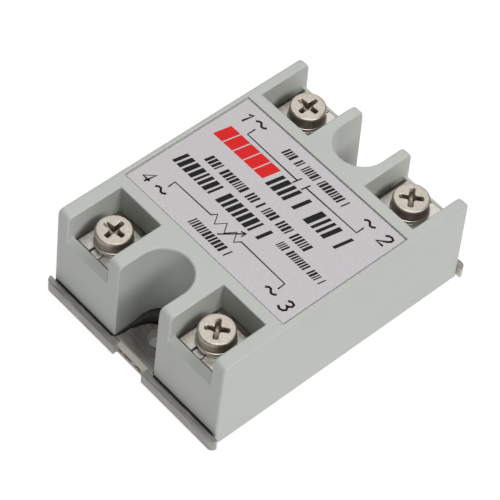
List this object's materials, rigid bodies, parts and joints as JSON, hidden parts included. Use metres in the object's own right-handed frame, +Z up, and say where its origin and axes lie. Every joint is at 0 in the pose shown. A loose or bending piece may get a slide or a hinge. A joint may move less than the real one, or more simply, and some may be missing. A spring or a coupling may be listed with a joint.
{
  "type": "solid state relay",
  "caption": "Panel-mount solid state relay: a grey moulded housing on a metal base plate, with screw clamp terminals in open corner bays and a notch over each mounting hole.",
  "frame": {"origin": "centre of the underside of the base plate", "axes": "+Z up, out of the heat sink; +Y along the length, towards the load terminals; +X across the width"},
  "size_m": [0.0466, 0.063, 0.0222],
  "materials": {
    "housing_plastic": "moulded, fine matt texture",
    "plate_metal": "rolled and sheared, dull",
    "sealant": "matt",
    "label_film": "printed satin film",
    "plated_steel": "nickel plated",
    "plated_brass": "nickel plated",
    "board_laminate": "glass laminate with green resist",
    "solder_alloy": "bright",
    "moulding_compound": "matt",
    "copper": "bare copper",
    "grease": "smooth",
    "film_case_red": "dipped resin",
    "film_case_yellow": "moulded box",
    "resistor_blue": "lacquer",
    "resistor_tan": "lacquer",
    "diac_blue": "glass bead with paint",
    "varistor_blue": "dipped resin"
  },
  "bodies": {
    "enclosure": {"housing": "housing_plastic", "base_plate": "plate_metal", "sealing_adhesive": "sealant", "label": "label_film", "circuit_board": "board_laminate", "solder_joints": "solder_alloy", "triac_case": "moulding_compound", "triac_heat_spreader": "copper", "triac_leads": "plated_brass", "thermal_grease": "grease", "triac_screw": "plated_steel", "triac_screw_washer": "plated_steel", "timing_capacitor": "film_case_red", "snubber_capacitor": "film_case_yellow", "snubber_resistor": "resistor_blue", "gate_resistor": "resistor_tan", "diac": "diac_blue", "varistor": "varistor_blue", "terminal_plate_1": "plated_brass", "terminal_nut_1": "plated_steel", "terminal_plate_2": "plated_brass", "terminal_nut_2": "plated_steel", "terminal_plate_3": "plated_brass", "terminal_nut_3": "plated_steel", "terminal_plate_4": "plated_brass", "terminal_nut_4": "plated_steel"},
    "clamp_1": {"clamp_plate_1": "plated_steel", "spring_washer_1": "plated_steel"},
    "screw_1": {"terminal_screw_1": "plated_steel"},
    "clamp_2": {"clamp_plate_2": "plated_steel", "spring_washer_2": "plated_steel"},
    "screw_2": {"terminal_screw_2": "plated_steel"},
    "clamp_3": {"clamp_plate_3": "plated_steel", "spring_washer_3": "plated_steel"},
    "screw_3": {"terminal_screw_3": "plated_steel"},
    "clamp_4": {"clamp_plate_4": "plated_steel", "spring_washer_4": "plated_steel"},
    "screw_4": {"terminal_screw_4": "plated_steel"}
  },
  "joints": [
    {"name": "clamp_1_lift", "type": "slide", "parent": "enclosure", "child": "clamp_1", "axis": [0, 0, 1], "range_m": [0, 0.0028]},
    {"name": "screw_1_turn", "type": "hinge", "parent": "clamp_1", "child": "screw_1", "pos_m": [-0.01395, 0.0234, 0.0176], "axis": [0, 0, 1], "range_deg": [0, 1441]},
    {"name": "clamp_2_lift", "type": "slide", "parent": "enclosure", "child": "clamp_2", "axis": [0, 0, 1], "range_m": [0, 0.0028]},
    {"name": "screw_2_turn", "type": "hinge", "parent": "clamp_2", "child": "screw_2", "pos_m": [0.01395, 0.0234, 0.0176], "axis": [0, 0, 1], "range_deg": [0, 1441]},
    {"name": "clamp_3_lift", "type": "slide", "parent": "enclosure", "child": "clamp_3", "axis": [0, 0, 1], "range_m": [0, 0.0028]},
    {"name": "screw_3_turn", "type": "hinge", "parent": "clamp_3", "child": "screw_3", "pos_m": [0.01395, -0.0234, 0.0176], "axis": [0, 0, 1], "range_deg": [0, 1441]},
    {"name": "clamp_4_lift", "type": "slide", "parent": "enclosure", "child": "clamp_4", "axis": [0, 0, 1], "range_m": [0, 0.0028]},
    {"name": "screw_4_turn", "type": "hinge", "parent": "clamp_4", "child": "screw_4", "pos_m": [-0.01395, -0.0234, 0.0176], "axis": [0, 0, 1], "range_deg": [0, 1441]}
  ],
  "couplings": [
    {"joint": "screw_1_turn", "follows": "clamp_1_lift", "rad_per_m": 8976},
    {"joint": "screw_2_turn", "follows": "clamp_2_lift", "rad_per_m": 8976},
    {"joint": "screw_3_turn", "follows": "clamp_3_lift", "rad_per_m": 8976},
    {"joint": "screw_4_turn", "follows": "clamp_4_lift", "rad_per_m": 8976}
  ]
}
